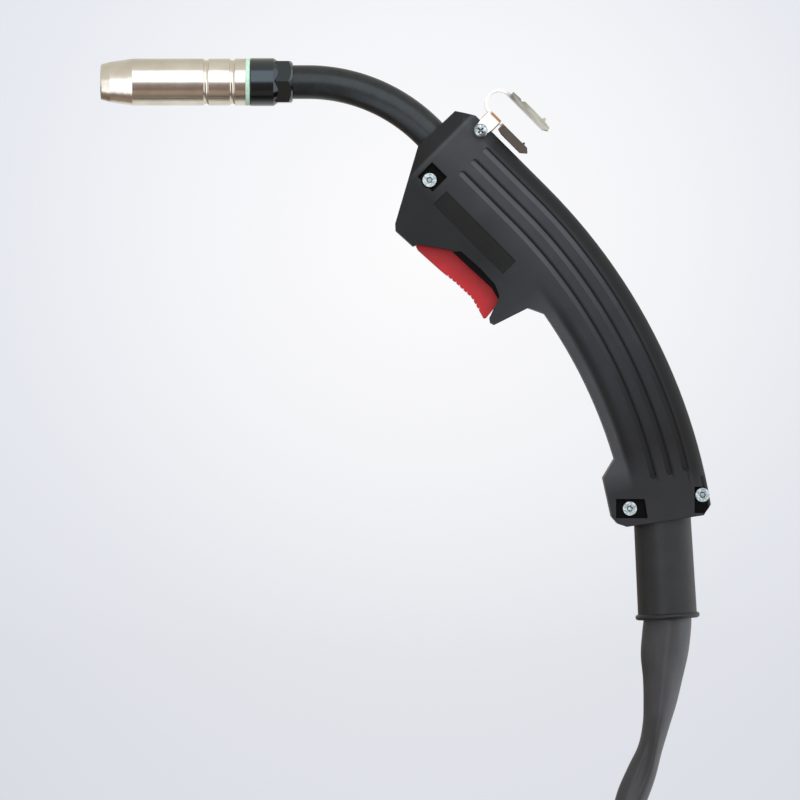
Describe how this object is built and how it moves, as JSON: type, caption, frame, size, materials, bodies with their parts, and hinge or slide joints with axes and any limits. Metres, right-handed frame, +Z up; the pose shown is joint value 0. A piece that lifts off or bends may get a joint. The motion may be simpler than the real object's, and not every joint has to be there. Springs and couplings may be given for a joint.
{
  "type": "mig welding torch",
  "caption": "Hand-held gas-shielded welding torch with bent neck, tapered nozzle, curved two-part handle, hanging hook, trigger, boot, coiled cable and central plug.",
  "frame": {"origin": "centre of the rod that the hanging hook takes, in the torch's middle plane", "axes": "+Z up, -X along the straight nozzle, +Y across the torch to its right-hand side"},
  "size_m": [0.3449, 0.2287, 0.4637],
  "materials": {
    "nickel_nozzle": "satin",
    "tip_copper": "satin",
    "brass": "satin",
    "spring_steel": "satin",
    "mint_insulator": "satin",
    "black_moulding": "gloss",
    "neck_insulation": "satin",
    "dark_steel": "satin",
    "handle_plastic": "satin",
    "zinc_steel": "satin",
    "nickel_sheet": "polished",
    "red_plastic": "satin",
    "lead_red": "matt",
    "cable_rubber": "matt",
    "boot_rubber": "matt",
    "sleeve_vinyl": "satin",
    "seal_rubber": "matt"
  },
  "bodies": {
    "handle": {"contact_tip": "tip_copper", "gas_diffuser": "brass", "nozzle_ring": "spring_steel", "insulator_ring": "mint_insulator", "neck_collar": "black_moulding", "neck_sleeve": "neck_insulation", "neck_tube": "tip_copper", "wire_liner": "spring_steel", "neck_clamp": "brass", "clamp_screws": "dark_steel", "power_terminal": "brass", "left_shell": "handle_plastic", "right_shell": "handle_plastic", "handle_screws": "zinc_steel", "handle_nuts": "zinc_steel", "hook": "nickel_sheet", "hook_screws": "zinc_steel", "trigger_pin": "spring_steel", "switch_body": "black_moulding", "switch_leads": "lead_red", "inner_cable": "cable_rubber", "cable_clamp": "dark_steel", "boot": "boot_rubber", "cable_sleeve": "sleeve_vinyl", "cable_run": "cable_rubber", "cable_coil": "cable_rubber", "cable_tail": "cable_rubber", "plug_support": "boot_rubber", "plug_housing": "handle_plastic", "plug_screws": "zinc_steel", "plug_body": "brass", "plug_tube": "brass", "plug_o_ring": "seal_rubber"},
    "nozzle": {"nozzle": "nickel_nozzle"},
    "trigger": {"trigger": "red_plastic", "trigger_spring": "spring_steel"},
    "switch_lever": {"switch_lever": "spring_steel"},
    "switch_plunger": {"switch_plunger": "red_plastic"},
    "plug_nut": {"plug_nut": "black_moulding"},
    "control_pins": {"plug_pins": "brass"}
  },
  "joints": [
    {"name": "nozzle_pull", "type": "slide", "parent": "handle", "child": "nozzle", "axis": [-1, 0, 0], "range_m": [0, 0.014]},
    {"name": "trigger_pull", "type": "hinge", "parent": "handle", "child": "trigger", "pos_m": [-0.04243, 0, -0.06505], "axis": [0, -1, 0], "range_deg": [0, 4.5], "stiffness_Nm_per_rad": 0.6},
    {"name": "switch_lever_swing", "type": "hinge", "parent": "handle", "child": "switch_lever", "pos_m": [0.00184, 0, -0.09008], "axis": [0, 1, 0], "range_deg": [0, 8.7]},
    {"name": "switch_plunger_press", "type": "slide", "parent": "handle", "child": "switch_plunger", "axis": [0.7071, 0, 0.7071], "range_m": [0, 0.00095]},
    {"name": "plug_nut_turn", "type": "hinge", "parent": "handle", "child": "plug_nut", "pos_m": [-0.20595, 0, -0.4169], "axis": [-1, 0, 0], "continuous": true},
    {"name": "control_pins_press", "type": "slide", "parent": "handle", "child": "control_pins", "axis": [1, 0, 0], "range_m": [0, 0.003], "stiffness_N_per_m": 300}
  ],
  "couplings": [
    {"joint": "switch_lever_swing", "follows": "trigger_pull", "ratio": 1.8667},
    {"joint": "switch_plunger_press", "follows": "trigger_pull", "m_per_rad": 0.011459}
  ]
}
